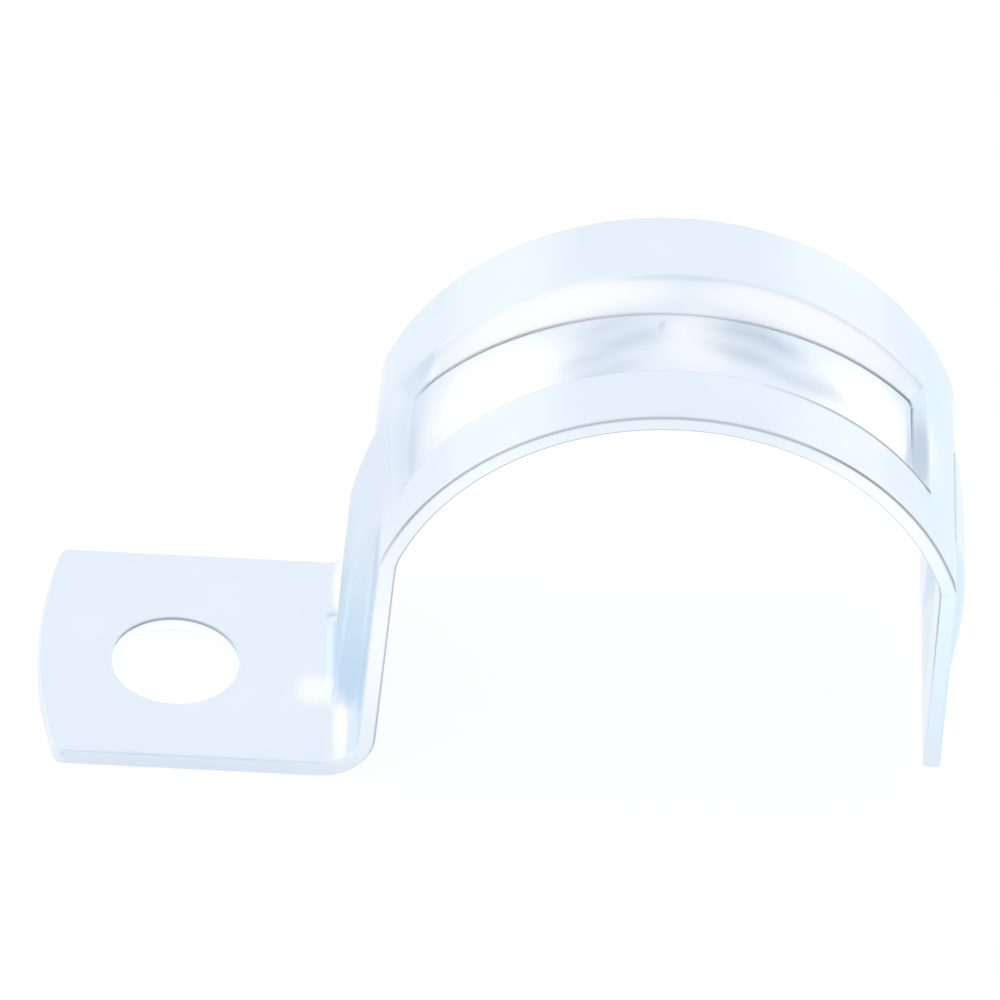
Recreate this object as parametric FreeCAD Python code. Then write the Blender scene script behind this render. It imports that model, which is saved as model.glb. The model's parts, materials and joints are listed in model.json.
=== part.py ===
"""One-hole conduit strap, pressed from a single strip of zinc-plated steel.

Frame: millimetres, +Z up, the mounting surface at z = 0. The origin is the middle of the screw
hole on the underside of the tab. +X runs from the hole to the arch and the free leg, and Y is
the direction of the conduit that the arch holds.
"""
import FreeCAD
import Part
import os
from math import acos, cos, degrees, radians, sin, sqrt, tan

# Conduit that the strap holds, trade size 1 thin-wall steel conduit
conduit_diameter = 29.5
conduit_clearance = 0.1

# Strip of sheet steel, which lies a little to one side of the pressed features
sheet_thickness = 1.0
strip_width = 17.5
strip_shift = 0.5

# Tab with the screw hole
hole_diameter = 7.2
hole_to_arch = 27.3
hole_to_corner = 6.7
tab_end_bulge = 1.15
tab_corner_round = 0.5

# Arch and its two legs
arch_centre_height = 11.15
arch_half_angle = 72.3
tab_leg_lean = 1.9
bend_radius = 2.1
free_leg_gap = 3.0
kink_round = 0.9

# Groove pressed into the arch, which makes the ridge that bears on the conduit
groove_depth = 1.35
groove_floor_half_width = 2.7
groove_wall_angle = 45.0
groove_tab_end = 64.0
groove_free_end = 56.7
groove_foot_round = 0.35
groove_shoulder_round = 0.8

# Stiffening rib pressed outwards through the tab leg and its bend
tab_rib_height = 1.4
tab_rib_half_width = 4.1
tab_rib_top_angle = 68.0
tab_rib_shoulder_radius = 17.0
tab_rib_inner_round = 0.3

# Shallow rib in the free leg, where the arch's curve is carried on past the kink
free_rib_half_width = 4.1
free_rib_fall_radius = 27.0
free_rib_run_in = 0.25
free_rib_inner_round = 0.3

# Derived sizes
ridge_radius = conduit_diameter / 2 + conduit_clearance
arch_inner_radius = ridge_radius + groove_depth
arch_outer_radius = arch_inner_radius + sheet_thickness
strip_front = strip_shift - strip_width / 2
strip_back = strip_shift + strip_width / 2
arch_axis_point = FreeCAD.Vector(hole_to_arch, 0, arch_centre_height)
conduit_direction = FreeCAD.Vector(0, 1, 0)
left = FreeCAD.Vector(-1, 0, 0)
up = FreeCAD.Vector(0, 0, 1)

# Two places or directions closer than this count as the same
same = 1e-3


def on_arch(radius, angle):
    """Point at a radius from the arch axis, at an angle from the crown towards the free leg."""
    turn = radians(angle)
    return arch_axis_point + FreeCAD.Vector(radius * sin(turn), 0, radius * cos(turn))


def line(start, end):
    return Part.makeLine(start, end)


def arc(start, middle, end):
    return Part.Arc(start, middle, end).toShape()


def across_strip(edges, front, back):
    """Solid made by drawing a closed run of XZ edges along the conduit direction."""
    face = Part.Face(Part.Wire(edges))
    face.translate(conduit_direction * front)
    return face.extrude(conduit_direction * (back - front))


def round_corner(start, corner, end, radius):
    """Arc that rounds the corner between two straight runs, as its three points."""
    back = (start - corner).normalize()
    ahead = (end - corner).normalize()
    half_turn = back.getAngle(ahead) / 2
    centre = corner + (back + ahead).normalize() * (radius / sin(half_turn))
    tangent = radius / tan(half_turn)
    middle = centre + (corner - centre).normalize() * radius
    return corner + back * tangent, middle, corner + ahead * tangent


def leg_down():
    """Direction down the tab leg, which leans outwards at its foot."""
    lean = radians(tab_leg_lean)
    return FreeCAD.Vector(-sin(lean), 0, -cos(lean))


def tab_leg_points(shift):
    """Kink and foot corner of the tab leg's outer face, moved out by a shift."""
    kink = on_arch(arch_outer_radius, -arch_half_angle) + left * shift
    down = leg_down()
    corner = kink + down * ((kink.z - sheet_thickness) / -down.z)
    return kink, corner


def outer_line():
    """The strip's outer line, from the tab's tip over the arch to the free end."""
    tip = FreeCAD.Vector(-hole_to_corner - tab_end_bulge, 0, sheet_thickness)
    kink, corner = tab_leg_points(0)
    bend = round_corner(tip, corner, kink, bend_radius)
    free_kink = on_arch(arch_outer_radius, arch_half_angle)
    free_end = FreeCAD.Vector(free_kink.x, 0, free_leg_gap)
    return Part.Wire([
        line(tip, bend[0]),
        arc(*bend),
        line(bend[2], kink),
        arc(kink, on_arch(arch_outer_radius, 0), free_kink),
        line(free_kink, free_end),
    ])


def bent_strip():
    """The plain strip, bent to its section, with its kinks rounded."""
    section = outer_line().makeOffset2D(-sheet_thickness, join=2, fill=True, openResult=True)
    section.translate(conduit_direction * strip_front)
    strip = section.extrude(conduit_direction * strip_width)
    outer_kinks = kink_edges(strip, arch_outer_radius)
    strip = strip.makeFillet(kink_round + sheet_thickness, outer_kinks)
    return strip.makeFillet(kink_round, kink_edges(strip, arch_inner_radius))


def kink_edges(strip, radius):
    """The two edges, one at each leg, where the arch meets the legs on one side of the sheet."""
    return [e for e in strip.Edges
            if runs_along(e, conduit_direction)
            and abs(axis_distance(e.Vertexes[0].Point) - radius) < same]


def runs_along(edge, direction):
    """True for a straight edge along a direction, either way round."""
    if not isinstance(edge.Curve, Part.Line):
        return False
    return abs(abs(edge.tangentAt(edge.FirstParameter).dot(direction)) - 1) < same


def axis_distance(point):
    return sqrt((point.x - hole_to_arch) ** 2 + (point.z - arch_centre_height) ** 2)


def edge_samples(edge):
    first, last = edge.ParameterRange
    return [edge.valueAt(first + (last - first) * share) for share in (0, 0.5, 1)]


def inside_middle_line():
    """Everything that lies inside the middle of the sheet's thickness."""
    outer = outer_line()
    tip = outer.OrderedVertexes[0].Point
    end = outer.OrderedVertexes[-1].Point
    below = up * (arch_outer_radius + tip.z)
    closed = Part.Wire(outer.Edges + [line(end, end - up * (end.z - tip.z) - below),
                                      line(end - up * (end.z - tip.z) - below, tip - below),
                                      line(tip - below, tip)])
    core = Part.Face(closed.makeOffset2D(-sheet_thickness / 2))
    core.translate(-conduit_direction * strip_width)
    return core.extrude(conduit_direction * 2 * strip_width)


def straight_then_round(start, corner, end, radius):
    """Edges from start towards end by way of a rounded corner, ending where the arc ends."""
    rounded = round_corner(start, corner, end, radius)
    return [line(start, rounded[0]), arc(*rounded)]


def tab_rib_line():
    """Outer line of the tab leg's rib: off the arch, down beside the leg, round the bend."""
    kink, corner = tab_leg_points(tab_rib_height)
    top = on_arch(arch_outer_radius, -tab_rib_top_angle)
    turn = radians(tab_rib_top_angle)
    fall = FreeCAD.Vector(-cos(turn), 0, -sin(turn))
    shoulder = meeting_point(top, fall, corner, leg_down())
    upper = straight_then_round(top, shoulder, corner, tab_rib_shoulder_radius)
    bend = round_corner(shoulder, corner, corner + left * tab_rib_height, bend_radius)
    return Part.Wire(upper + [line(upper[-1].Vertexes[-1].Point, bend[0]), arc(*bend)])


def meeting_point(point, direction, other, other_direction):
    """Where two straight lines in the XZ plane cross."""
    across = FreeCAD.Vector(other_direction.z, 0, -other_direction.x)
    return point + direction * ((other - point).dot(across) / direction.dot(across))


def free_rib_line(inset):
    """Line of the free leg's rib: the arch's curve to its widest, then back to the leg.

    An inset of the sheet's thickness gives the inner side of the same rib.
    """
    radius = arch_outer_radius - inset
    start = on_arch(radius, arch_half_angle)
    middle = on_arch(radius, (90 + arch_half_angle) / 2)
    widest = on_arch(radius, 90)
    centre = on_arch(arch_outer_radius, 90) + left * free_rib_fall_radius
    leg_x = on_arch(arch_outer_radius, arch_half_angle).x
    fall = acos((leg_x - free_rib_run_in - centre.x) / free_rib_fall_radius)
    fall_points = [centre + FreeCAD.Vector(cos(a), 0, -sin(a)) * (free_rib_fall_radius - inset)
                   for a in (fall / 2, fall)]
    return Part.Wire([arc(start, middle, widest), arc(widest, *fall_points)])


def filled_behind(wire, inward, foot, half_width, crest_round):
    """Solid between a rib's line and the space behind it, its crest edges rounded."""
    ends = [wire.OrderedVertexes[0].Point, wire.OrderedVertexes[-1].Point]
    behind = ends[0] + inward
    corners = [ends[0], behind, FreeCAD.Vector(behind.x, 0, foot),
               FreeCAD.Vector(ends[1].x, 0, foot), ends[1]]
    back = [line(a, b) for a, b in zip(corners, corners[1:]) if not a.isEqual(b, same)]
    body = across_strip(wire.Edges + back, -half_width, half_width)
    crest = [e for e in body.Edges
             if not runs_along(e, conduit_direction) and follows(e, wire)]
    return body.makeFillet(crest_round, crest)


def follows(edge, wire):
    """True for an edge that lies straight in front of or behind a line in the XZ plane."""
    flat = [Part.Vertex(p.x, 0, p.z) for p in edge_samples(edge)]
    return all(wire.distToShape(spot)[0] < same for spot in flat)


def groove_tool(grow):
    """Ring segment with sloping walls that fills the groove, grown on its inner side."""
    slope = radians(groove_wall_angle)
    floor = arch_outer_radius - groove_depth - grow
    top = arch_outer_radius + groove_depth
    floor_half = groove_floor_half_width + grow * (1 / cos(slope) - tan(slope))
    top_half = floor_half + (top - floor) * tan(slope)
    corners = [(-floor_half, floor), (floor_half, floor), (top_half, top), (-top_half, top)]
    points = [arch_axis_point + FreeCAD.Vector(0, y, r) for y, r in corners]
    section = Part.Face(Part.Wire([line(points[i - 1], points[i]) for i in range(4)]))
    spread = degrees(grow / arch_outer_radius)
    section.rotate(arch_axis_point, conduit_direction, -groove_tab_end - spread)
    sweep = groove_tab_end + groove_free_end + 2 * spread
    ring = section.revolve(arch_axis_point, conduit_direction, sweep)
    floor_edges = [e for e in ring.Edges if lies_on_radius(e, floor)]
    return ring.makeFillet(groove_foot_round + grow, floor_edges)


def lies_on_radius(edge, radius):
    """True for an edge whose two ends and middle are that far from the arch axis."""
    return all(abs(axis_distance(p) - radius) < same for p in edge_samples(edge))


def groove_ridge():
    """What the groove pushes inwards: its tool grown by the sheet, kept inside the arch."""
    inside = Part.makeCylinder(arch_outer_radius - sheet_thickness / 2, 2 * strip_width,
                               arch_axis_point - conduit_direction * strip_width,
                               conduit_direction)
    return groove_tool(sheet_thickness).common(inside)


def tab_end_cutter():
    """What lies outside the tab's gently curved far end."""
    half = strip_width / 2
    radius = (half ** 2 + tab_end_bulge ** 2) / (2 * tab_end_bulge)
    tip = -hole_to_corner - tab_end_bulge
    start = FreeCAD.Vector(tip + radius, strip_shift, -sheet_thickness)
    disc = Part.makeCylinder(radius, 3 * sheet_thickness, start)
    block_corner = FreeCAD.Vector(tip - tab_end_bulge, strip_front - strip_width / 2,
                                  -sheet_thickness)
    block = Part.makeBox(2 * tab_end_bulge, 2 * strip_width, 3 * sheet_thickness, block_corner)
    return block.cut(disc)


def screw_hole():
    return Part.makeCylinder(hole_diameter / 2, 3 * sheet_thickness,
                             FreeCAD.Vector(0, 0, -sheet_thickness))


def tab_corner_edges(strap):
    """The two upright edges at the tab's far end."""
    return [e for e in strap.Edges
            if runs_along(e, up) and e.Vertexes[0].X < -hole_diameter / 2]


def groove_shoulders(strap):
    """Edges where the groove's walls meet the arch's outer surface."""
    return [e for e in strap.Edges
            if lies_on_radius(e, arch_outer_radius) and stays_off_sides(e)]


def stays_off_sides(edge):
    middle = edge_samples(edge)[1]
    return strip_front + sheet_thickness < middle.y < strip_back - sheet_thickness and (
        not runs_along(edge, conduit_direction) or edge.Length < strip_width - sheet_thickness)


def press_tab_rib(strap, core):
    """Adds the tab leg's rib outside the sheet, then hollows it from the inner side."""
    outer = tab_rib_line()
    inner = outer.makeOffset2D(sheet_thickness, join=2, openResult=True)
    below = -sheet_thickness
    rib = filled_behind(outer, -left * sheet_thickness, below, tab_rib_half_width,
                        tab_rib_inner_round + sheet_thickness)
    hollow = filled_behind(inner, FreeCAD.Vector(), below, tab_rib_half_width - sheet_thickness,
                           tab_rib_inner_round)
    return strap.fuse(rib.cut(core)).cut(hollow)


def press_free_rib(strap, core):
    """Adds the free leg's rib outside the sheet, then hollows it from the inner side."""
    outer = free_rib_line(0)
    inner = free_rib_line(sheet_thickness)
    inward = left * (2 * sheet_thickness)
    rib = filled_behind(outer, inward, outer.OrderedVertexes[-1].Z, free_rib_half_width,
                        free_rib_inner_round + sheet_thickness)
    hollow = filled_behind(inner, inward, inner.OrderedVertexes[-1].Z,
                           free_rib_half_width - sheet_thickness, free_rib_inner_round)
    return strap.fuse(rib.cut(core)).cut(hollow)


def grooved_strip():
    """The bent strip with the groove, its ridge and the rounded groove shoulders."""
    strip = bent_strip().fuse(groove_ridge()).cut(groove_tool(0)).removeSplitter()
    return strip.makeFillet(groove_shoulder_round, groove_shoulders(strip))


def make_strap():
    core = inside_middle_line()
    strap = press_free_rib(press_tab_rib(grooved_strip(), core), core)
    strap = strap.cut(screw_hole()).cut(tab_end_cutter()).removeSplitter()
    return strap.makeFillet(tab_corner_round, tab_corner_edges(strap))


def main():
    os.makedirs("parts", exist_ok=True)
    strap = make_strap()
    print("volume", strap.Volume, "solids", len(strap.Solids), "valid", strap.isValid())
    strap.exportStep("parts/strap.step")


main()
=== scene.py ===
import json
from math import acos, atan2, cos, degrees, hypot, pi, radians, sin, sqrt, tan

import bpy
import numpy as np
from mathutils import Matrix, Vector


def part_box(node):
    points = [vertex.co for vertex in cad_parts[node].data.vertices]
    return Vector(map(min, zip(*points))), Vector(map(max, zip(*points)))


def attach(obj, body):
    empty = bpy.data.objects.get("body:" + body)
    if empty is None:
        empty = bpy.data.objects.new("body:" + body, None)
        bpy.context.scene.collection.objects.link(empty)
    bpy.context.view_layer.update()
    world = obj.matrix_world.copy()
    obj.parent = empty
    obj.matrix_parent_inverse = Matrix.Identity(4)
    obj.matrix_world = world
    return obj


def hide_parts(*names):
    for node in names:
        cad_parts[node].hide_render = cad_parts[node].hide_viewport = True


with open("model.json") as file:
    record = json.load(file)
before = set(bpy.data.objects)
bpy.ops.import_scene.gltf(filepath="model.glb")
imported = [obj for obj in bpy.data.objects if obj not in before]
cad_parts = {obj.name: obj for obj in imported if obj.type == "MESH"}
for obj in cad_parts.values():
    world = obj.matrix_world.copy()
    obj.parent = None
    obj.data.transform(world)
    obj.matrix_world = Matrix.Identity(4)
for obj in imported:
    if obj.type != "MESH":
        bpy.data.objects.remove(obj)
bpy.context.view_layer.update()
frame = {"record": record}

# Places and sizes from the frame, in metres. All angles are in degrees
MM = 0.001
MOUNTS = {m["name"]: m for m in frame["record"]["mounts"]}
HOLE = Vector(MOUNTS["screw_hole"]["pos_m"])
HOLE_RADIUS = MOUNTS["screw_hole"]["dims"]["r_mm"] * MM
ARCH_AXIS = Vector(MOUNTS["conduit_seat"]["pos_m"])
STRAP_LOW, STRAP_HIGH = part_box("strap")

# Sheet and strip
SHEET = 1.0 * MM
STRIP_FRONT = STRAP_LOW.y
STRIP_BACK = STRAP_HIGH.y
STRIP_MIDDLE = (STRIP_FRONT + STRIP_BACK) / 2
STRIP_HALF = (STRIP_BACK - STRIP_FRONT) / 2
TAB_TIP = STRAP_LOW.x
TAB_END_BULGE = 1.15 * MM
TAB_CORNER_ROUND = 0.5 * MM
TAB_CORNER_REACH = 4 * TAB_CORNER_ROUND
TIP_SHAPE_STOPS = 0.6 * MM
EDGE_ROUND = 0.2 * MM

# Arch and legs, on the outer side of the sheet
ARCH_RADIUS = STRAP_HIGH.z - ARCH_AXIS.z
ARCH_HALF_ANGLE = 72.3
TAB_LEG_LEAN = 1.9
BEND_RADIUS = 2.1 * MM
KINK_RADIUS = 6.0 * MM
FREE_LEG_GAP = 3.0 * MM

# Groove pressed into the arch
GROOVE_DEPTH = 1.62 * MM
GROOVE_FLOOR_DROP = 1.9 * MM
GROOVE_HALF_WIDTH = 4.15 * MM
GROOVE_TAB_END = -66.0
GROOVE_FREE_END = 57.0
GROOVE_SIDE_SLOPE = 1.0
GROOVE_END_SLOPE = 2.4
GROOVE_FOOT_SOFT = 0.16 * MM
RIDGE_FOOT_SOFTER = 0.4
GROOVE_FRONT_SHOULDER_SOFT = 0.12 * MM
GROOVE_BACK_SHOULDER_SOFT = 0.45 * MM
GROOVE_TAB_END_SOFT = 1.3 * MM
GROOVE_TAB_END_FROM = -48.0
GROOVE_CORNER_SOFT = 0.9 * MM
GROOVE_TAB_CORNER_SOFT = 1.8 * MM

# Rib pressed outwards in the tab leg
TAB_RIB_HEIGHT = 1.32 * MM
TAB_RIB_HALF_WIDTH = 4.25 * MM
TAB_RIB_TOP_ANGLE = -67.0
TAB_RIB_FULL_HEIGHT_AT = 11.2 * MM
TAB_RIB_FOOT_RADIUS = 0.8 * MM
TAB_RIB_FOOT_REACH = 4 * MM
TAB_RIB_FADE = 0.4
TAB_RIB_HOLLOW_NARROWER = 0.6
RIB_WALL_SLOPE = 1.9
RIB_CREST_SOFT = 0.9 * MM
RIB_ROOT_SOFT = 0.9 * MM

# Shallow rib in the free leg
FREE_RIB_HALF_WIDTH = 4.1 * MM
FREE_RIB_FALL_RADIUS = 27.0 * MM
FREE_RIB_SLOPE = 1.0
FREE_RIB_HOLLOW_NARROWER = 0.3
FREE_RIB_CREST_SOFT = 0.5 * MM
FREE_RIB_ROOT_SOFT = 0.1 * MM

# Mesh density, with the arch's own steps and reach in degrees
S_STEP = 0.3 * MM
Y_STEP_PLAIN = 0.5 * MM
Y_STEP_FINE = 0.085 * MM
FINE_FROM = 2.2 * MM
FINE_TO = 4.7 * MM
ARCH_STEP = 1.0
ARCH_STEP_FINE = 0.3
ARCH_FINE_REACH = 3.5
ARCH_FINE_IN = 0.5
EDGE_STEPS = 4
END_INSET = 0.8
HOLE_RINGS = 8
HOLE_SQUARE_ALONG = 1.0 * MM
HOLE_SQUARE_ACROSS = 1.1 * MM

# Tests of where a place lies
OFF_ARCH = 0.02 * MM
FAR_OUTSIDE = -10 * MM
NO_RIB = -1 * MM
LEG_TILT_SPARE = 0.01
FLAT_ENOUGH = 0.999

# Studio as the reflections see it: direction, inner and outer angle, colour
STUDIO_ZONES = [
    (-0.75, 0.62, 0.20, 10, 32, (1.10, 1.10, 1.10)),
    (0.75, 0.62, 0.20, 10, 32, (1.10, 1.10, 1.10)),
    (0.0, -0.15, 1.0, 5, 22, (0.84, 0.89, 0.92)),
]

# Floor, and what the reflections see of it, with places measured from the arch axis
FLOOR_SIZE = 6
FLOOR_GREY = 0.9
FLOOR_ROUGHNESS = 0.9
FLOOR_GLOW = 1.06
FLOOR_GLOW_SHARE = 0.82
WHITE = (1.0, 1.0, 1.0)
# Painted shade on the floor far to the sides, as reflections see it, gone straight ahead and behind
FAR_SIDE_SHADE = (0.78, 0.84, 0.92)
FAR_SIDE_SHADE_FROM = 60 * MM
FAR_SIDE_SHADE_FULL = 130 * MM
FAR_SIDE_SHADE_AHEAD = (0.02, -0.12)
FAR_SIDE_SHADE_BEHIND = (0.42, 0.56)
# Painted shadow on the floor under the arch, as reflections see it
PAINTED_ARCH_SHADOW = (0.52, 0.55, 0.63)
PAINTED_ARCH_SHADOW_POOLS = [(-7 * MM, -4 * MM, 11 * MM), (0 * MM, -13 * MM, 6 * MM)]
POOL_CORE = 0.7
# Painted light on the floor ahead of the strap, as reflections see it
PAINTED_LIGHT_AHEAD = (1.12, 1.10, 1.05)
PAINTED_LIGHT_AHEAD_FROM = -10 * MM
PAINTED_LIGHT_AHEAD_FULL = -20 * MM
# Painted light on the floor in the hole, as reflections see it
PAINTED_LIGHT_IN_HOLE = (1.3, 1.3, 1.3)
PAINTED_LIGHT_IN_HOLE_FROM = 1.1 * HOLE_RADIUS
PAINTED_LIGHT_IN_HOLE_FULL = 0.9 * HOLE_RADIUS

# Zinc plating: its two tints, its clouds and its grain
ZINC_DARKER = (0.775, 0.865, 0.96)
ZINC_PALER = (0.81, 0.885, 0.975)
CLOUD_SCALE = 180.0
CLOUD_DETAIL = 5.0
CLOUD_RANGE = (0.3, 0.7)
ROUGHNESS_RANGE = (0.12, 0.24)
DULL_ROUGHNESS = 0.5
GRAIN_SCALE = 3000.0
GRAIN_DETAIL = 3.0
GRAIN_STRENGTH = 0.05
GRAIN_HEIGHT = 0.05 * MM

# Colours painted over the plating: painted highlight, painted shade, painted bluish reflection and
# painted dark lines of shade
PAINTED_HIGHLIGHT_COLOUR = (0.98, 1.0, 1.0)
PAINTED_SHADE_COLOUR = (0.56, 0.65, 0.77)
BLUE_REFLECTION_COLOUR = (0.62, 0.86, 1.0)
LINE_SHADE_COLOUR = (0.07, 0.07, 0.11)

# Painted highlights, painted shade and dull patches in the groove: what they do, angle on the arch,
# place across, spreads, strength
GROOVE_MARKS = [
    # Painted highlights on the groove floor at both sides and at the crown, and on its back wall
    ("painted_highlight", -41.0, -0.6, 19.0, 3.3, 1.0),
    ("painted_highlight", 45.0, -0.6, 16.0, 3.3, 1.0),
    ("painted_highlight", 4.0, 0.3, 8.0, 2.5, 0.6),
    ("painted_highlight", -28.0, 3.5, 26.0, 0.8, 1.0),
    ("painted_highlight", 27.0, 3.5, 24.0, 0.8, 0.8),
    # Painted shade in streaks on the groove floor
    ("streaked_shade", -13.0, 0.9, 9.0, 1.6, 0.7),
    ("streaked_shade", -17.0, -1.4, 8.0, 1.3, 0.7),
    ("streaked_shade", 16.0, 0.9, 11.0, 1.9, 1.0),
    ("streaked_shade", 27.0, -0.7, 10.0, 1.3, 0.7),
    # Painted shade on the groove's two end walls and at a small spot near the crown, with a dull
    # patch at the tab end
    ("painted_shade", -63.5, -0.8, 2.0, 2.8, 0.35),
    ("dull", -64.0, 0.0, 6.5, 5.5, 1.0),
    ("painted_shade", 56.5, -1.1, 1.25, 3.2, 1.0),
    ("painted_shade", -3.7, 1.5, 0.8, 0.3, 1.0),
]
GROOVE_SPARE = 0.15 * MM

# Streaks that break up the streaked painted shade: waves for each millimetre across, and for the
# angle
STREAKS_MEAN = 0.72
STREAKS_SWING = 0.28
STREAKS_ACROSS = 2.6
STREAKS_SLANT = 0.16
STREAKS_WANDER = 8.0
STREAKS_WANDER_FINE = 3.2

# Painted highlights, painted shade, painted bluish reflections and dull patches elsewhere: what they
# do, place and spreads in millimetres, strength
BODY_MARKS = [
    # Painted highlights on the tab by the rib's front foot, in the bend ahead of it and along the
    # tab leg's front face
    ("painted_highlight", (8.0, -1.9, 1.0), (1.0, 1.3, 1.5), 1.0),
    ("painted_highlight", (9.5, -5.2, 1.2), (0.4, 2.6, 1.5), 1.0),
    ("painted_highlight", (12.3, -8.25, 9.0), (2.5, 0.3, 7.0), 0.5),
    # Painted bluish reflection on both legs, with the tab leg's rib made dull
    ("blue_reflection", (9.9, 0.0, 6.0), (1.9, 6.0, 6.0), 0.6),
    ("dull", (10.6, 0.0, 9.5), (2.8, 7.5, 10.0), 1.0),
    ("blue_reflection", (44.0, 0.0, 14.0), (4.0, 12.0, 12.0), 0.5),
    # Painted shade at the tab rib's front corner and along the front faces of the tab and the arch
    ("painted_shade", (9.7, -2.6, 1.9), (0.9, 0.45, 0.8), 0.9),
    ("painted_shade", (1.0, -8.25, 0.5), (11.0, 0.3, 1.0), 0.35),
    ("painted_shade", (27.3, -8.25, 27.0), (9.0, 0.3, 5.0), 0.2),
    # Painted highlights along the arch's front face
    ("painted_highlight", (37.5, -8.25, 20.0), (6.0, 0.3, 7.0), 0.5),
    ("painted_highlight", (17.5, -8.25, 22.0), (5.0, 0.3, 6.0), 0.25),
    # Painted shade on the free leg
    ("painted_shade", (43.2, -2.0, 7.0), (0.8, 8.0, 7.0), 0.3),
    # Painted highlight on the tab behind the rib's foot
    ("painted_highlight", (9.3, 6.8, 1.3), (0.45, 2.2, 0.7), 1.0),
    # Painted shade at the tab rib's back corner, at the tab's front tip and faintly on the arch
    # above the tab leg
    ("painted_shade", (8.95, 4.5, 1.1), (0.4, 0.2, 0.4), 0.7),
    ("painted_shade", (-7.2, -8.0, 1.0), (0.35, 0.2, 0.3), 1.0),
    ("painted_shade", (13.0, 0.0, 16.0), (3.0, 9.0, 6.0), 0.12),
]

# Painted dark lines of shade round the arch: angle on the arch and strength, one list for each line
OUTER_EDGE_LINE = [(-73, 0.25), (-60, 0.7), (-35, 0.5), (0, 0.45), (22, 0.5), (35, 0.85), (73, 0.65)]
INNER_EDGE_LINE = [(-73, 0.1), (-30, 0.15), (0, 0.05), (20, 0.15), (35, 0.3), (73, 0.2)]
FOOT_LINE = [(-67, 0.45), (-58, 0.7), (-35, 0.8), (-18, 0.5), (0, 0.25), (20, 0.6), (55.2, 1.0),
             (56.2, 0.6)]
BACK_SHOULDER_LINE = [(2, 0.0), (12, 0.2), (45, 0.25), (57, 0.1)]
FRONT_SHOULDER_LINE = [(14, 0.0), (30, 0.6), (58, 1.0)]
# Painted dark line of shade round the hole's rim
HOLE_LINE_STRENGTH = 0.7
LINE_WIDTH = 0.08 * MM
FOOT_LINE_WIDTH = 0.075 * MM
FOOT_LINE_GONE = -2.5 * MM
FOOT_LINE_FULL = 2.6 * MM
SHOULDER_LINE_WIDTH = 0.13 * MM
FRONT_SHOULDER_LINE_AT = 4.25 * MM
EDGE_LINE_IN = 0.05 * MM

# Camera, as fitted to the photograph
CAMERA_TARGET = Vector((27.3 * MM, 0.5 * MM, 13.26 * MM))
CAMERA_AZIMUTH = -3.27
CAMERA_ELEVATION = 41.11
CAMERA_ROLL = 5.03
CAMERA_DISTANCE = 1093 * MM
CAMERA_LENS = 691.3
CAMERA_SENSOR = 36
CAMERA_SEES_TO = 10
AIM_RIGHT = -9.395 * MM
AIM_UP = 1.010 * MM


def smooth_min(a, b, soft):
    """Lesser of two values, with the corner between them rounded over a width of soft."""
    mix = np.maximum(soft - np.abs(a - b), 0.0)
    return np.minimum(a, b) - mix * mix / (4 * soft)


def smooth_max(a, b, soft):
    """Greater of two values, with the corner between them rounded over a width of soft."""
    return -smooth_min(-a, -b, soft)


def smooth_step(t):
    """Smooth share from 0 to 1 as t goes from 0 to 1."""
    t = np.clip(t, 0.0, 1.0)
    return t * t * (3 - 2 * t)


def point(x, z):
    """Place in the side view."""
    return np.array([x, z])


def on_arch(angle):
    """Place on the arch's outer line, at an angle from its crown towards the free leg."""
    turn = radians(angle)
    return point(ARCH_AXIS.x + ARCH_RADIUS * sin(turn), ARCH_AXIS.z + ARCH_RADIUS * cos(turn))


def unit(v):
    """Vector of length 1 in the same direction."""
    return v / hypot(*v)


def corner_arc(start, corner, end, radius):
    """Centre, start and end of the arc that rounds a corner."""
    back, ahead = unit(start - corner), unit(end - corner)
    half = acos(np.clip(np.dot(back, ahead), -1, 1)) / 2
    centre = corner + unit(back + ahead) * (radius / sin(half))
    tangent = radius / tan(half)
    return centre, corner + back * tangent, corner + ahead * tangent


def line_stations(start, end, step):
    """Stations along a straight run, each a point and its outward normal."""
    count = max(2, int(round(hypot(*(end - start)) / step)))
    along = unit(end - start)
    normal = np.array([-along[1], along[0]])
    return [(start + (end - start) * k / count, normal) for k in range(count)]


def arc_stations(centre, start, end, side, step, radius):
    """Stations along an arc. side is 1 where the arc's centre is inside the strap."""
    a0 = atan2(*(start - centre)[::-1])
    a1 = atan2(*(end - centre)[::-1])
    sweep = (a1 - a0 + pi) % (2 * pi) - pi
    count = max(2, int(round(abs(sweep) * radius / step)))
    out = []
    for k in range(count):
        a = a0 + sweep * k / count
        normal = np.array([cos(a), sin(a)])
        out.append((centre + normal * radius, normal * side))
    return out


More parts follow.
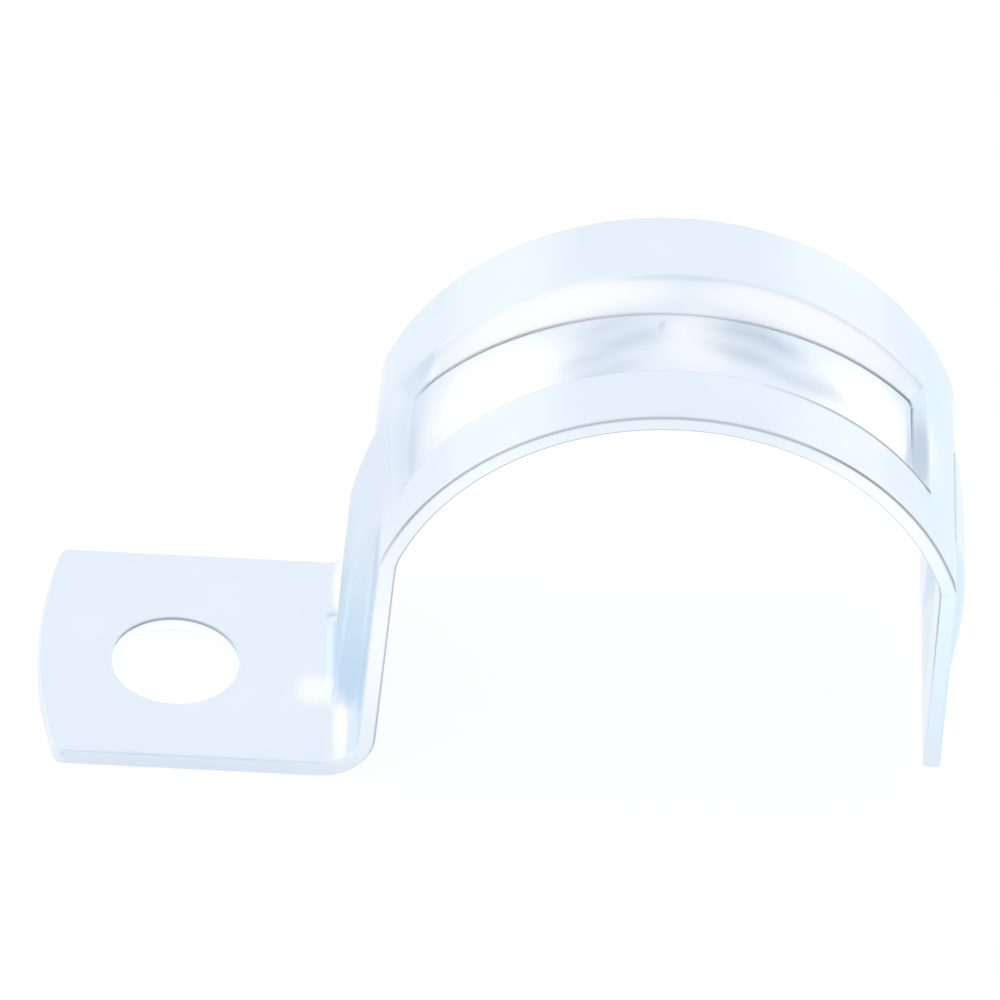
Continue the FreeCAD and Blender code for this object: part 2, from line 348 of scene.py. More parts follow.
def base_line():
    """Stations along the strip's outer line, from the tab's tip to the free end, and the
    place where the tab's bend starts."""
    kink = on_arch(-ARCH_HALF_ANGLE)
    lean = radians(TAB_LEG_LEAN)
    down = point(-sin(lean), -cos(lean))
    foot = kink + down * ((kink[1] - SHEET) / cos(lean))
    tip = point(TAB_TIP + EDGE_ROUND, SHEET)
    free_kink = on_arch(ARCH_HALF_ANGLE)
    free_end = point(free_kink[0], FREE_LEG_GAP + EDGE_ROUND)
    near = radians(ARCH_HALF_ANGLE)
    arch_tangent = point(cos(near), sin(near))
    bend_centre, bend_start, bend_end = corner_arc(tip, foot, kink, BEND_RADIUS)
    kink_centre, kink_start, kink_end = corner_arc(foot, kink, kink + arch_tangent, KINK_RADIUS)
    free_tangent = point(-arch_tangent[0], arch_tangent[1])
    far_centre, far_start, far_end = corner_arc(free_kink + free_tangent, free_kink, free_end,
                                                KINK_RADIUS)
    axis = point(ARCH_AXIS.x, ARCH_AXIS.z)
    fine = S_STEP / 2
    stations = line_stations(tip, bend_start, S_STEP)
    stations += arc_stations(bend_centre, bend_start, bend_end, -1, fine, BEND_RADIUS)
    stations += line_stations(bend_end, kink_start, S_STEP)
    stations += arc_stations(kink_centre, kink_start, kink_end, 1, fine / 2, KINK_RADIUS)
    stations += arch_stations(axis, kink_end, far_start)
    stations += arc_stations(far_centre, far_start, far_end, 1, fine / 2, KINK_RADIUS)
    stations += line_stations(far_end, free_end, S_STEP)
    stations.append((free_end, stations[-1][1]))
    return stations, bend_start[0]


def arch_stations(axis, start, end):
    """Stations round the arch, closer together at the two ends of the groove."""
    a = -degrees(atan2(start[1] - axis[1], start[0] - axis[0])) + 90
    b = -degrees(atan2(end[1] - axis[1], end[0] - axis[0])) + 90
    angles = []
    while a < b:
        angles.append(a)
        from_tab_end = abs(a - GROOVE_TAB_END - ARCH_FINE_IN)
        from_free_end = abs(a - GROOVE_FREE_END + ARCH_FINE_IN)
        close = min(from_tab_end, from_free_end) < ARCH_FINE_REACH
        a += ARCH_STEP_FINE if close else ARCH_STEP
    out = []
    for a in angles:
        turn = radians(a)
        normal = np.array([sin(turn), cos(turn)])
        out.append((axis + normal * ARCH_RADIUS, normal))
    return out


def y_lines():
    """Lines across the strip, closer together at the pressed walls, from front to back."""
    lo, hi = STRIP_FRONT + EDGE_ROUND, STRIP_BACK - EDGE_ROUND
    marks = [lo, lo + TAB_CORNER_ROUND, -FINE_TO, -FINE_FROM, FINE_FROM, FINE_TO,
             hi - TAB_CORNER_ROUND, hi]
    steps = [Y_STEP_FINE, Y_STEP_PLAIN, Y_STEP_FINE, Y_STEP_PLAIN, Y_STEP_FINE, Y_STEP_PLAIN,
             Y_STEP_FINE]
    lines = []
    for a, b, step in zip(marks, marks[1:], steps):
        count = int(round((b - a) / step))
        lines += [a + (b - a) * k / count for k in range(count)]
    return np.array(lines + [hi])


def groove_floor_depth(angle):
    """Depth of the groove's floor. Its centre lies below the arch axis, so the crown is deepest."""
    turn = np.radians(angle)
    floor_radius = ARCH_RADIUS - GROOVE_DEPTH + GROOVE_FLOOR_DROP
    floor = np.sqrt(floor_radius ** 2 - (GROOVE_FLOOR_DROP * np.sin(turn)) ** 2)
    return ARCH_RADIUS - floor + GROOVE_FLOOR_DROP * np.cos(turn)


def groove_depth(angle, arc_in, y, grow):
    """Depth of the groove, or of the ridge inside it when grown by the sheet."""
    full = groove_floor_depth(angle)
    foot_soft = GROOVE_FOOT_SOFT + grow * RIDGE_FOOT_SOFTER
    if grow:
        shoulder_soft = GROOVE_FOOT_SOFT / 2
    else:
        shoulder_soft = np.where(y > 0, GROOVE_BACK_SHOULDER_SOFT, GROOVE_FRONT_SHOULDER_SOFT)
        shoulder_soft = shoulder_soft + near_tab_end(angle) * GROOVE_TAB_END_SOFT
    wall = groove_wall(angle, arc_in, y, grow)
    return smooth_max(smooth_min(wall, full, foot_soft), 0.0, shoulder_soft)


def near_tab_end(angle):
    """Share that goes from 0 to 1 towards the groove's end at the tab leg, which is softer."""
    return smooth_step((GROOVE_TAB_END_FROM - angle) / (GROOVE_TAB_END_FROM - GROOVE_TAB_END))


def groove_wall(angle, arc_in, y, grow):
    """Depth the groove's side and end walls would reach if there were no floor."""
    half = GROOVE_HALF_WIDTH + grow * (sqrt(2) - 1)
    side = (half - np.abs(y)) * GROOVE_SIDE_SLOPE
    end = (arc_in + grow) * GROOVE_END_SLOPE
    corner_soft = GROOVE_CORNER_SOFT + near_tab_end(angle) * GROOVE_TAB_CORNER_SOFT
    return smooth_min(side, end, corner_soft)


def into_groove(angle):
    """Distance along the arch from the groove's nearer end, negative outside it."""
    return np.radians(np.minimum(angle - GROOVE_TAB_END, GROOVE_FREE_END - angle)) * ARCH_RADIUS


def build_fields(stations, y):
    """Groove depth, tab rib share and free rib push, for the outer and the inner surface."""
    pts = np.array([p for p, n in stations])
    axis = point(ARCH_AXIS.x, ARCH_AXIS.z)
    rel = pts - axis
    angle = np.degrees(np.arctan2(rel[:, 0], rel[:, 1]))
    on_arch_part = np.abs(np.hypot(rel[:, 0], rel[:, 1]) - ARCH_RADIUS) < OFF_ARCH
    on_arch_part &= np.abs(angle) < ARCH_HALF_ANGLE
    arc_in = np.where(on_arch_part, into_groove(angle), FAR_OUTSIDE)[:, None]
    yy = y[None, :]
    fields = []
    for grow in (0.0, SHEET):
        groove = groove_depth(angle[:, None], arc_in, yy, grow)
        tab = tab_rib(pts, yy, grow)
        free = free_rib(pts, yy, grow)
        fields.append((groove, tab, free))
    return fields


def tab_rib(pts, yy, grow):
    """Push of the tab leg's rib, as a share of the full push."""
    top_z = on_arch(TAB_RIB_TOP_ANGLE)[1]
    fall = (top_z - pts[:, 1]) / (top_z - TAB_RIB_FULL_HEIGHT_AT)
    crest = TAB_RIB_HEIGHT * smooth_step(fall)
    crest = np.where(pts[:, 0] < ARCH_AXIS.x, crest, 0.0)[:, None]
    half = TAB_RIB_HALF_WIDTH - grow * TAB_RIB_HOLLOW_NARROWER
    side = (half - np.abs(yy)) * RIB_WALL_SLOPE
    crest_soft = RIB_CREST_SOFT if grow == 0 else RIB_ROOT_SOFT
    root_soft = RIB_ROOT_SOFT if grow == 0 else RIB_CREST_SOFT / 2
    push = smooth_min(side, crest, crest_soft)
    fade = np.clip(crest / (TAB_RIB_FADE * TAB_RIB_HEIGHT), 0.0, 1.0)
    return smooth_max(push, 0.0, root_soft) * fade / TAB_RIB_HEIGHT


def free_rib(pts, yy, grow):
    """Outward push of the free leg's rib, which carries the arch's curve on past the kink."""
    kink = on_arch(ARCH_HALF_ANGLE)
    widest = ARCH_AXIS.x + ARCH_RADIUS
    dz = pts[:, 1] - ARCH_AXIS.z
    above = np.sqrt(np.maximum(ARCH_RADIUS ** 2 - dz ** 2, 0)) + ARCH_AXIS.x
    below = widest - FREE_RIB_FALL_RADIUS
    below = below + np.sqrt(np.maximum(FREE_RIB_FALL_RADIUS ** 2 - dz ** 2, 0))
    line_x = np.where(dz > 0, above, below)
    on_leg = (pts[:, 0] > ARCH_AXIS.x) & (pts[:, 1] < kink[1])
    crest = np.where(on_leg, line_x - pts[:, 0], NO_RIB)[:, None]
    half = FREE_RIB_HALF_WIDTH - grow * FREE_RIB_HOLLOW_NARROWER
    side = (half - np.abs(yy)) * FREE_RIB_SLOPE
    push = smooth_min(side, crest, FREE_RIB_CREST_SOFT)
    return smooth_max(push, 0.0, FREE_RIB_ROOT_SOFT)


def tip_shape(x, y):
    """Moves the lines near the tab's tip on to its curved end with rounded corners."""
    across = (y - STRIP_MIDDLE) / STRIP_HALF
    first = TAB_TIP + EDGE_ROUND
    still = HOLE.x - HOLE_RADIUS - TIP_SHAPE_STOPS
    reach = np.clip((still - x) / (still - first), 0, 1)
    into_corner = np.clip(TAB_CORNER_ROUND - STRIP_HALF * (1 - np.abs(across)), 0, None)
    corner = TAB_CORNER_ROUND - np.sqrt(TAB_CORNER_ROUND ** 2 - into_corner ** 2)
    near_tip = np.clip(1 - (x - first) / TAB_CORNER_REACH, 0, 1)
    return x + reach * TAB_END_BULGE * across ** 2 + near_tip * corner


def tab_rib_push(pts, normals):
    """How far the full tab rib moves each station: out from the leg, and into a tighter bend."""
    lean = radians(TAB_LEG_LEAN)
    leg = np.array([-cos(lean), sin(lean)])
    tighter = BEND_RADIUS - TAB_RIB_FOOT_RADIUS
    bend_top = SHEET + BEND_RADIUS
    near_foot = smooth_step(1 - (pts[:, 1] - bend_top) / TAB_RIB_FOOT_REACH)
    on_leg = TAB_RIB_HEIGHT * leg + np.outer(near_foot, [0.0, -tighter])
    on_bend = np.array([tighter - TAB_RIB_HEIGHT, -tighter]) + tighter * normals
    in_bend = (normals[:, 1] > sin(lean) + LEG_TILT_SPARE) & (pts[:, 1] < bend_top)
    on_tab = in_bend & (normals[:, 1] > FLAT_ENOUGH)
    push = np.where(in_bend[:, None], on_bend, on_leg)
    return np.where(on_tab[:, None], 0.0, push)


def surface_grid(stations, y, field, inner):
    """Positions of one side of the sheet as an array of stations by lines."""
    groove, tab, free = field
    pts = np.array([p for p, n in stations])
    normals = np.array([n for p, n in stations])
    if inner:
        pts = pts - normals * SHEET
    push = tab_rib_push(pts, normals)
    x = pts[:, 0:1] + normals[:, 0:1] * (free - groove) + push[:, 0:1] * tab
    z = pts[:, 1:2] + normals[:, 1:2] * (free - groove) + push[:, 1:2] * tab
    yy = np.broadcast_to(y[None, :], x.shape)
    return np.stack([x, yy, z], axis=-1)


def edge_profile(steps):
    """Quarter circle as pairs: share of the radius sideways, share of the radius in depth."""
    turns = [pi / 2 * k / steps for k in range(1, steps + 1)]
    return [(sin(t), 1 - cos(t)) for t in turns]


def section_loops(outer, inner):
    """Closed loops round the strip: outer side, back edge, inner side, front edge."""
    depth = inner - outer
    depth = depth / np.linalg.norm(depth, axis=-1, keepdims=True)
    sideways = np.array([0.0, 1.0, 0.0])

    def round_edge(line, sign, depth_sign):
        side = outer[:, line] if depth_sign > 0 else inner[:, line]
        return [side + EDGE_ROUND * (sideways * sign * a + depth[:, line] * depth_sign * b)
                for a, b in edge_profile(EDGE_STEPS)]

    back = round_edge(-1, 1, 1) + round_edge(-1, 1, -1)[::-1]
    front = round_edge(0, -1, -1) + round_edge(0, -1, 1)[::-1]
    columns = [outer[:, j] for j in range(outer.shape[1])] + back
    columns += [inner[:, j] for j in range(inner.shape[1] - 1, -1, -1)] + front
    return np.stack(columns, axis=1)


def end_loops(loop, along, depth):
    """Loops that carry the last loop of the strip round its sheared end."""
    from_middle = loop @ depth - (loop @ depth).mean()
    inwards = -np.clip(from_middle / EDGE_ROUND, -1, 1)
    out = []
    for a, b in edge_profile(EDGE_STEPS - 1):
        inset = END_INSET * EDGE_ROUND * b
        moved = loop + along * EDGE_ROUND * a + np.outer(inwards * inset, depth)
        narrower = 1 - inset / STRIP_HALF
        moved[:, 1] = STRIP_MIDDLE + (moved[:, 1] - STRIP_MIDDLE) * narrower
        out.append(moved)
    return out


def build_strap_mesh():
    """Whole strap as one closed mesh of quads."""
    stations, bend_x = base_line()
    lines = y_lines()
    fields = build_fields(stations, lines)
    outer = surface_grid(stations, lines, fields[0], False)
    inner = surface_grid(stations, lines, fields[1], True)
    loops = section_loops(outer, inner)
    on_tab = loops[:, :, 0] < HOLE.x - HOLE_RADIUS
    loops[:, :, 0] = np.where(on_tab, tip_shape(loops[:, :, 0], loops[:, :, 1]), loops[:, :, 0])
    count, per_loop = loops.shape[:2]
    verts = [tuple(v) for v in loops.reshape(-1, 3)]
    square = hole_square(outer, stations, bend_x, lines)
    faces = strip_faces(count, per_loop, len(lines), square)
    add_hole(verts, faces, per_loop, len(lines), square)
    left, down = np.array([-1.0, 0.0, 0.0]), np.array([0.0, 0.0, -1.0])
    add_end(verts, faces, 0, loops[0], left, down, len(lines))
    add_end(verts, faces, (count - 1) * per_loop, loops[-1], down, left, len(lines))
    return verts, faces


def hole_square(outer, stations, bend_x, lines):
    """First and last station and line of the square of mesh that the hole takes the place of."""
    middle = len(lines) // 2
    along = [i for i in range(len(stations))
             if abs(outer[i, middle, 0] - HOLE.x) < HOLE_RADIUS + HOLE_SQUARE_ALONG
             and stations[i][0][0] < bend_x]
    across = [j for j in range(len(lines))
              if abs(lines[j] - HOLE.y) < HOLE_RADIUS + HOLE_SQUARE_ACROSS]
    return along[0], along[-1], across[0], across[-1]


def strip_faces(count, per_loop, m, square):
    """Quads between the loops, apart from the hole's square on both sides of the sheet."""
    i0, i1, j0, j1 = square
    faces = []
    for i in range(count - 1):
        for j in range(per_loop):
            k = (j + 1) % per_loop
            in_hole = i0 <= i < i1 and (j0 <= j < j1 or inner_in_hole(j, m, j0, j1))
            if not in_hole:
                faces.append((i * per_loop + j, (i + 1) * per_loop + j,
                              (i + 1) * per_loop + k, i * per_loop + k))
    return faces


def inner_line(j, m):
    """Position in a loop of line j on the inner side, where the loop has m lines a side."""
    return 2 * m + 2 * EDGE_STEPS - 1 - j


def inner_in_hole(j, m, j0, j1):
    """True for a loop position on the inner side that lies in the hole's square."""
    return j0 < inner_line(j, m) <= j1


def add_hole(verts, faces, per_loop, m, square):
    """Fills the square left open round the hole with rings, and adds the hole's wall."""
    i0, i1, j0, j1 = square
    walk = [(i, j0) for i in range(i0, i1)] + [(i1, j) for j in range(j0, j1)]
    walk += [(i, j1) for i in range(i1, i0, -1)] + [(i0, j) for j in range(j1, j0, -1)]
    rim = EDGE_ROUND
    top = [i * per_loop + j for i, j in walk]
    bottom = [i * per_loop + inner_line(j, m) for i, j in walk]
    turns = [atan2(verts[v][1] - HOLE.y, verts[v][0] - HOLE.x) for v in top]
    shares = [k / HOLE_RINGS for k in range(1, HOLE_RINGS + 1)]
    profile = edge_profile(EDGE_STEPS)
    rings = [top]

    def add_ring(points):
        start = len(verts)
        verts.extend(points)
        rings.append(list(range(start, start + len(points))))

    def circle(radius, z):
        return [(HOLE.x + radius * cos(t), HOLE.y + radius * sin(t), z) for t in turns]

    def between(ring, z, share):
        far = circle(HOLE_RADIUS + rim, z)
        return [tuple(np.array(verts[v]) * (1 - share) + np.array(c) * share)
                for v, c in zip(ring, far)]

    for share in shares:
        add_ring(between(top, SHEET, share))
    for a, b in profile:
        add_ring(circle(HOLE_RADIUS + rim * (1 - a), SHEET - rim * b))
    for a, b in profile[::-1]:
        add_ring(circle(HOLE_RADIUS + rim * (1 - a), rim * b))
    for share in shares[::-1]:
        add_ring(between(bottom, 0.0, share))
    rings.append(bottom)
    count = len(walk)
    for near, far in zip(rings, rings[1:]):
        for k in range(count):
            q = (k + 1) % count
            faces.append((near[k], near[q], far[q], far[k]))


def add_end(verts, faces, first, loop, along, depth, m):
    """Rounds the sheared end after one loop and closes it."""
    flip = first == 0
    per_loop = len(loop)
    previous = list(range(first, first + per_loop))
    for moved in end_loops(loop, along, depth):
        start = len(verts)
        verts.extend(tuple(v) for v in moved)
        current = list(range(start, start + per_loop))
        for k in range(per_loop):
            q = (k + 1) % per_loop
            quad = (previous[k], previous[q], current[q], current[k])
            faces.append(quad if flip else quad[::-1])
        previous = current
    e = 2 * EDGE_STEPS
    back = previous[m - 1:m + e + 1]
    front = previous[2 * m + e - 1:] + [previous[0]]
    caps = [back, front]
    for j in range(m - 1):
        caps.append([previous[j], previous[j + 1],
                     previous[inner_line(j + 1, m)], previous[inner_line(j, m)]])
    for cap in caps:
        faces.append(tuple(cap) if flip else tuple(cap[::-1]))


def make_strap():
    """Strap as one object, with its painted highlights, painted shade, painted bluish reflections,
    painted dark lines and dull patches stored on it.
    """
    verts, faces = build_strap_mesh()
    mesh = bpy.data.meshes.new("pressed_strap")
    mesh.from_pydata(verts, [], faces)
    mesh.validate()
    mesh.polygons.foreach_set("use_smooth", [True] * len(mesh.polygons))
    mesh.update()
    add_painted_light_and_dull(mesh)
    strap = bpy.data.objects.new("pressed_strap", mesh)
    bpy.context.scene.collection.objects.link(strap)
    return strap


def add_painted_light_and_dull(mesh):
    """Stores at each vertex how much painted highlight, painted shade, painted bluish reflection and
    painted dark line the sheet carries there, and how dull it is.
    """
    spots = np.empty(len(mesh.vertices) * 3)
    mesh.vertices.foreach_get("co", spots)
    spots = spots.reshape(-1, 3)
    across, height = spots[:, 0] - ARCH_AXIS.x, spots[:, 2] - ARCH_AXIS.z
    angle = np.degrees(np.arctan2(across, height))
    radius = np.hypot(across, height)
    y = spots[:, 1]
    amounts = {name: np.zeros(len(y)) for name in ("painted_highlight", "painted_shade", "blue_reflection", "dull")}
    in_groove = radius > ARCH_RADIUS - GROOVE_DEPTH - GROOVE_SPARE
    uneven = streaks(angle, y)
    for name, place, side, spread, side_spread, strength in GROOVE_MARKS:
        off = ((angle - place) / spread) ** 2 + ((y / MM - side) / side_spread) ** 2
        amount = np.where(in_groove, strength * np.exp(-off * off), 0.0)
        # Streaked painted shade is stored with the other painted shade
        if name == "streaked_shade":
            name, amount = "painted_shade", amount * uneven
        amounts[name] = np.maximum(amounts[name], amount)
    for name, place, spreads, strength in BODY_MARKS:
        off = (((spots / MM - place) / spreads) ** 2).sum(axis=1)
        amounts[name] = np.maximum(amounts[name], strength * np.exp(-off * off))
    # Painted dark lines of shade along the edges, the groove and the hole's rim
    amounts["line_shade"] = np.maximum(line_shade_amount(angle, radius, y), rim_amount(spots))
    for name, amount in amounts.items():
        mesh.attributes.new(name, "FLOAT", "POINT").data.foreach_set("value", amount)


def streaks(angle, y):
    """Uneven share, drawn out along the arch, that breaks up the painted shade in the groove."""
    wander = np.sin(angle / STREAKS_WANDER) + np.sin(angle / STREAKS_WANDER_FINE) / 2
    slant = STREAKS_SLANT * np.abs(angle)
    return STREAKS_MEAN + STREAKS_SWING * np.sin(STREAKS_ACROSS * y / MM + slant + wander)


def line_share(angle, strengths, away, width):
    """Darkness of one line: its strength at this angle, gone a width away from it."""
    angles, shares = zip(*strengths)
    return np.interp(angle, angles, shares, left=0.0, right=0.0) * np.exp(-(away / width) ** 2)


def line_shade_amount(angle, radius, y):
    """Darkness of the painted lines of shade along the arch's edges and along the groove."""
    edge = STRIP_FRONT + EDGE_LINE_IN
    from_outer = np.hypot(radius - ARCH_RADIUS + EDGE_LINE_IN, y - edge)
    from_inner = np.hypot(radius - ARCH_RADIUS + SHEET - EDGE_LINE_IN, y - edge)
    from_back = np.hypot(radius - ARCH_RADIUS, y - GROOVE_HALF_WIDTH)
    from_front = np.hypot(radius - ARCH_RADIUS, y + FRONT_SHOULDER_LINE_AT)
    depth = groove_floor_depth(angle)
    wall = groove_wall(angle, into_groove(angle), y, 0.0)
    from_foot = np.hypot(wall - depth, np.minimum(radius - ARCH_RADIUS + depth, 0.0))
    foot_shown = smooth_step((y - FOOT_LINE_GONE) / (FOOT_LINE_FULL - FOOT_LINE_GONE))
    lines = [
        line_share(angle, OUTER_EDGE_LINE, from_outer, LINE_WIDTH),
        line_share(angle, INNER_EDGE_LINE, from_inner, LINE_WIDTH),
        line_share(angle, FOOT_LINE, from_foot, FOOT_LINE_WIDTH) * foot_shown,
        line_share(angle, BACK_SHOULDER_LINE, from_back, SHOULDER_LINE_WIDTH),
        line_share(angle, FRONT_SHOULDER_LINE, from_front, SHOULDER_LINE_WIDTH),
    ]
    return np.max(lines, axis=0)


def rim_amount(spots):
    """Darkness of the painted line of shade round the back half of the hole's upper rim."""
    across, along, up = (spots - (HOLE.x, HOLE.y, SHEET - EDGE_LINE_IN)).T
    from_rim = np.hypot(np.hypot(across, along) - HOLE_RADIUS - EDGE_LINE_IN, up)
    share = HOLE_LINE_STRENGTH * smooth_step(along / HOLE_RADIUS)
    return share * np.exp(-(from_rim / LINE_WIDTH) ** 2)


def marked(nodes, links, name, colour, mark_colour):
    """Colour output changed to another where a stored mark says so."""
    mark = nodes.new("ShaderNodeAttribute")
    mark.attribute_name = name
    return mix_colours(nodes, links, mark.outputs["Fac"], colour, mark_colour)


def add_noise(nodes, links, place, scale, detail):
    """Noise that stays with the object."""
    noise = nodes.new("ShaderNodeTexNoise")
    noise.inputs["Scale"].default_value = scale
    noise.inputs["Detail"].default_value = detail
    links.new(place.outputs["Object"], noise.inputs["Vector"])
    return noise.outputs["Fac"]


def zinc_colour(nodes, links, cloud):
    """Cloudy tint of the plating with the painted bluish reflection, painted highlights, painted
    shade and painted dark lines laid over it.
    """
    tint = nodes.new("ShaderNodeValToRGB")
    ends = zip(tint.color_ramp.elements, CLOUD_RANGE, (ZINC_DARKER, ZINC_PALER))
    for element, position, colour in ends:
        element.position = position
        element.color = (*colour, 1)
    links.new(cloud, tint.inputs["Fac"])
    # Painted bluish reflection, highlights, shade and dark lines laid over the plating's tint
    colour = marked(nodes, links, "blue_reflection", tint.outputs["Color"], BLUE_REFLECTION_COLOUR)
    colour = marked(nodes, links, "painted_highlight", colour, PAINTED_HIGHLIGHT_COLOUR)
    colour = marked(nodes, links, "painted_shade", colour, PAINTED_SHADE_COLOUR)
    return marked(nodes, links, "line_shade", colour, LINE_SHADE_COLOUR)


def zinc_roughness(nodes, links, cloud):
    """Polish that varies with the clouds and is lost where the sheet is marked as dull."""
    polish = nodes.new("ShaderNodeMapRange")
    polish.inputs["To Min"].default_value = ROUGHNESS_RANGE[0]
    polish.inputs["To Max"].default_value = ROUGHNESS_RANGE[1]
    links.new(cloud, polish.inputs["Value"])
    dull = nodes.new("ShaderNodeAttribute")
    dull.attribute_name = "dull"
    roughness = nodes.new("ShaderNodeMix")
    roughness.inputs["B"].default_value = DULL_ROUGHNESS
    links.new(dull.outputs["Fac"], roughness.inputs["Factor"])
    links.new(polish.outputs["Result"], roughness.inputs["A"])
    return roughness.outputs["Result"]


def zinc_material():
    """Bright zinc plating: pale, bluish, with a fine grain and faint clouds."""
    material = bpy.data.materials.new("zinc_plating")
    material.use_nodes = True
    nodes, links = material.node_tree.nodes, material.node_tree.links
    shader = nodes["Principled BSDF"]
    shader.inputs["Metallic"].default_value = 1.0
    place = nodes.new("ShaderNodeTexCoord")
    cloud = add_noise(nodes, links, place, CLOUD_SCALE, CLOUD_DETAIL)
    links.new(zinc_colour(nodes, links, cloud), shader.inputs["Base Color"])
    links.new(zinc_roughness(nodes, links, cloud), shader.inputs["Roughness"])
    bump = nodes.new("ShaderNodeBump")
    bump.inputs["Strength"].default_value = GRAIN_STRENGTH
    bump.inputs["Distance"].default_value = GRAIN_HEIGHT
    grain = add_noise(nodes, links, place, GRAIN_SCALE, GRAIN_DETAIL)
    links.new(grain, bump.inputs["Height"])
    links.new(bump.outputs["Normal"], shader.inputs["Normal"])
    return material


def smooth_range(nodes, links, value, low, high):
    """Node output that goes smoothly from 0 at low to 1 at high."""
    ramp = nodes.new("ShaderNodeMapRange")
    ramp.interpolation_type = "SMOOTHSTEP"
    ramp.inputs["From Min"].default_value = low
    ramp.inputs["From Max"].default_value = high
    links.new(value, ramp.inputs["Value"])
    return ramp.outputs["Result"]


def mix_colours(nodes, links, factor, first, second):
    """Node output that goes from one colour to another, each a value or an output."""
    mix = nodes.new("ShaderNodeMix")
    mix.data_type = "RGBA"
    links.new(factor, mix.inputs["Factor"])
    for colour, socket in ((first, mix.inputs["A"]), (second, mix.inputs["B"])):
        if isinstance(colour, tuple):
            socket.default_value = (*colour, 1)
        else:
            links.new(colour, socket)
    return mix.outputs["Result"]


def add_world():
    """White studio: the camera sees white, and reflections see soft boxes and darker gaps."""
    world = bpy.data.worlds.new("studio")
    bpy.context.scene.world = world
    world.use_nodes = True
    nodes, links = world.node_tree.nodes, world.node_tree.links
    place = nodes.new("ShaderNodeTexCoord")
    colour = WHITE
    for x, y, z, inner, outer, shade in STUDIO_ZONES:
        toward = nodes.new("ShaderNodeVectorMath")
        toward.operation = "DOT_PRODUCT"
        toward.inputs[1].default_value = Vector((x, y, z)).normalized()
        links.new(place.outputs["Generated"], toward.inputs[0])
        inside = smooth_range(nodes, links, toward.outputs["Value"], cos(radians(outer)),
                              cos(radians(inner)))
        colour = mix_colours(nodes, links, inside, colour, shade)
    path = nodes.new("ShaderNodeLightPath")
    seen = mix_colours(nodes, links, path.outputs["Is Camera Ray"], colour, WHITE)
    links.new(seen, nodes["Background"].inputs["Color"])


def distance_from(nodes, links, place, centre):
    """Node output for the distance from a point in the object's own space."""
    away = nodes.new("ShaderNodeVectorMath")
    away.operation = "DISTANCE"
    away.inputs[1].default_value = centre
    links.new(place.outputs["Object"], away.inputs[0])
    return away.outputs["Value"]


def table_colour(nodes, links):
    """Colour of the floor in reflections: white, with painted shade far to the sides, a painted
    shadow under the arch, and painted light ahead of the strap and in the hole.
    """
    place = nodes.new("ShaderNodeTexCoord")
    far = smooth_range(nodes, links, distance_from(nodes, links, place, (0, 0, 0)),
                       FAR_SIDE_SHADE_FROM, FAR_SIDE_SHADE_FULL)
    heading = nodes.new("ShaderNodeVectorMath")
    heading.operation = "NORMALIZE"
    links.new(place.outputs["Object"], heading.inputs[0])
    axes = nodes.new("ShaderNodeSeparateXYZ")
    links.new(heading.outputs["Vector"], axes.inputs["Vector"])
    # Painted shade far to the sides
    table = mix_colours(nodes, links, far, WHITE, FAR_SIDE_SHADE)
    for low, high in (FAR_SIDE_SHADE_AHEAD, FAR_SIDE_SHADE_BEHIND):
        beyond = smooth_range(nodes, links, axes.outputs["Y"], low, high)
        table = mix_colours(nodes, links, beyond, table, WHITE)
    spot = nodes.new("ShaderNodeSeparateXYZ")
    links.new(place.outputs["Object"], spot.inputs["Vector"])
    # Painted light ahead of the strap
    in_front = smooth_range(nodes, links, spot.outputs["Y"], PAINTED_LIGHT_AHEAD_FROM, PAINTED_LIGHT_AHEAD_FULL)
    table = mix_colours(nodes, links, in_front, table, PAINTED_LIGHT_AHEAD)
    # Painted shadow pools under the arch
    for x, y, radius in PAINTED_ARCH_SHADOW_POOLS:
        reach = distance_from(nodes, links, place, (x, y, 0))
        under = smooth_range(nodes, links, reach, radius, POOL_CORE * radius)
        table = mix_colours(nodes, links, under, table, PAINTED_ARCH_SHADOW)
    # Painted light in the hole
    hole_place = (HOLE.x - ARCH_AXIS.x, HOLE.y, 0)
    from_hole = distance_from(nodes, links, place, hole_place)
    in_hole = smooth_range(nodes, links, from_hole, PAINTED_LIGHT_IN_HOLE_FROM, PAINTED_LIGHT_IN_HOLE_FULL)
    return mix_colours(nodes, links, in_hole, table, PAINTED_LIGHT_IN_HOLE)


def add_maths(nodes, links, operation, first, second):
    """Node output of one sum on an output and another output or a number."""
    sum_node = nodes.new("ShaderNodeMath")
    sum_node.operation = operation
    links.new(first, sum_node.inputs[0])
    if isinstance(second, float):
        sum_node.inputs[1].default_value = second
    else:
        links.new(second, sum_node.inputs[1])
    return sum_node.outputs["Value"]


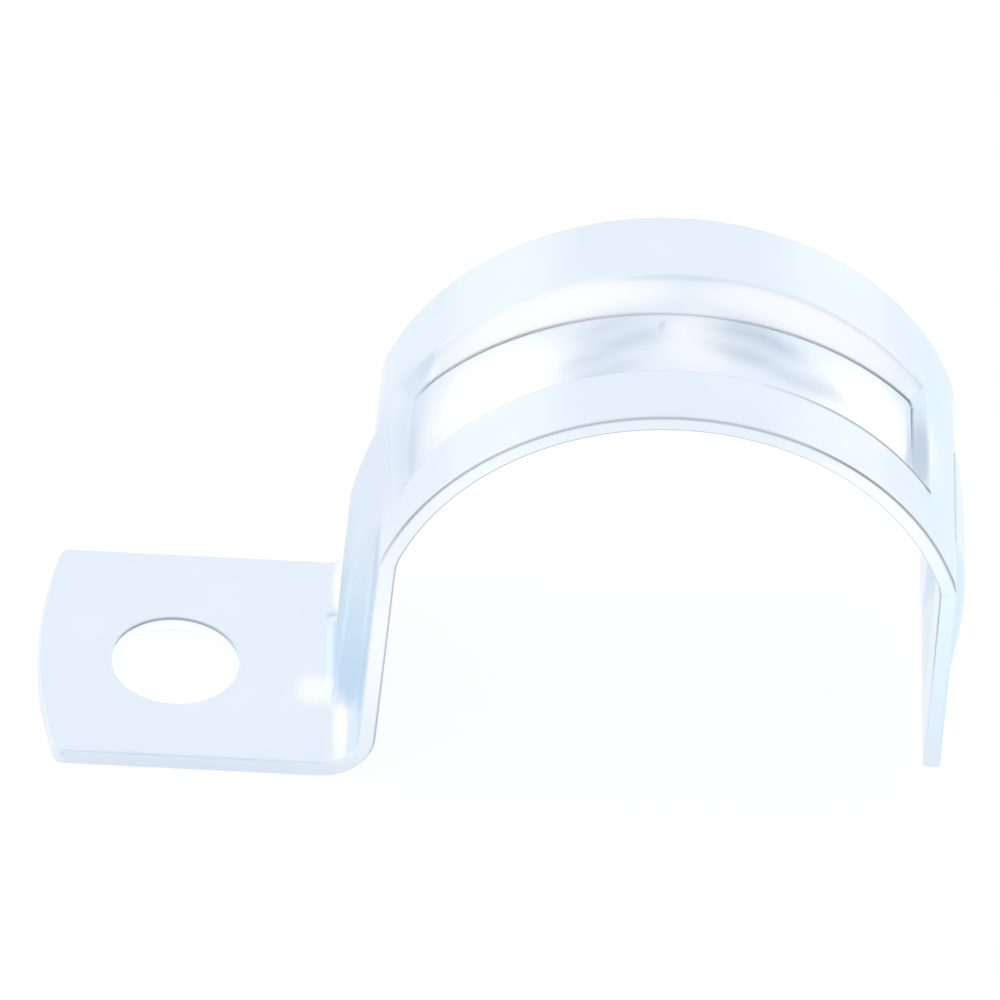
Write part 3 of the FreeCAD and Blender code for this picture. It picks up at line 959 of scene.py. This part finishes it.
def floor_material():
    """Pale floor that keeps the shadow, and glows white to the camera and, with painted light and
    shade, in reflections.
    """
    material = bpy.data.materials.new("pale_floor")
    material.use_nodes = True
    nodes, links = material.node_tree.nodes, material.node_tree.links
    shader = nodes["Principled BSDF"]
    shader.inputs["Base Color"].default_value = (FLOOR_GREY, FLOOR_GREY, FLOOR_GREY, 1)
    shader.inputs["Roughness"].default_value = FLOOR_ROUGHNESS
    shader.inputs["Specular IOR Level"].default_value = 0.0
    path = nodes.new("ShaderNodeLightPath")
    camera_ray, glossy_ray = path.outputs["Is Camera Ray"], path.outputs["Is Glossy Ray"]
    glow = nodes.new("ShaderNodeEmission")
    glow.inputs["Strength"].default_value = FLOOR_GLOW
    table = table_colour(nodes, links)
    links.new(mix_colours(nodes, links, camera_ray, table, WHITE), glow.inputs["Color"])
    seen = add_maths(nodes, links, "MAXIMUM", camera_ray, glossy_ray)
    share = add_maths(nodes, links, "MULTIPLY", seen, FLOOR_GLOW_SHARE)
    mix = nodes.new("ShaderNodeMixShader")
    links.new(share, mix.inputs["Fac"])
    links.new(shader.outputs["BSDF"], mix.inputs[1])
    links.new(glow.outputs["Emission"], mix.inputs[2])
    links.new(mix.outputs["Shader"], nodes["Material Output"].inputs["Surface"])
    return material


def add_floor():
    """Pale floor at the mounting surface, wide enough to fill the view."""
    bpy.ops.mesh.primitive_plane_add(size=FLOOR_SIZE, location=(ARCH_AXIS.x, 0, 0))
    floor = bpy.context.object
    floor.name = "floor"
    floor.data.materials.append(floor_material())


def add_camera():
    """Camera at the photograph's viewpoint, with its tilt and its off-centre aim."""
    az, el, roll = (radians(a) for a in (CAMERA_AZIMUTH, CAMERA_ELEVATION, CAMERA_ROLL))
    back = Vector((sin(az) * cos(el), -cos(az) * cos(el), sin(el)))
    right = Vector((cos(az), sin(az), 0))
    above = back.cross(right)
    rolled_right = right * cos(roll) + above * sin(roll)
    rolled_up = above * cos(roll) - right * sin(roll)
    place = CAMERA_TARGET + back * CAMERA_DISTANCE
    aim = CAMERA_TARGET + rolled_right * AIM_RIGHT + rolled_up * AIM_UP
    out = (place - aim).normalized()
    side = rolled_up.cross(out).normalized()
    up = out.cross(side)
    data = bpy.data.cameras.new("camera")
    data.sensor_width = CAMERA_SENSOR
    data.lens = CAMERA_LENS
    data.clip_end = CAMERA_SEES_TO
    camera = bpy.data.objects.new("camera", data)
    camera.matrix_world = Matrix((
        (side.x, up.x, out.x, place.x),
        (side.y, up.y, out.y, place.y),
        (side.z, up.z, out.z, place.z),
        (0, 0, 0, 1)))
    bpy.context.scene.collection.objects.link(camera)
    bpy.context.scene.camera = camera


strap = make_strap()
strap.data.materials.append(zinc_material())
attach(strap, "root")
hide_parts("strap")
add_world()
add_floor()
add_camera()
bpy.context.scene.view_settings.view_transform = "Standard"
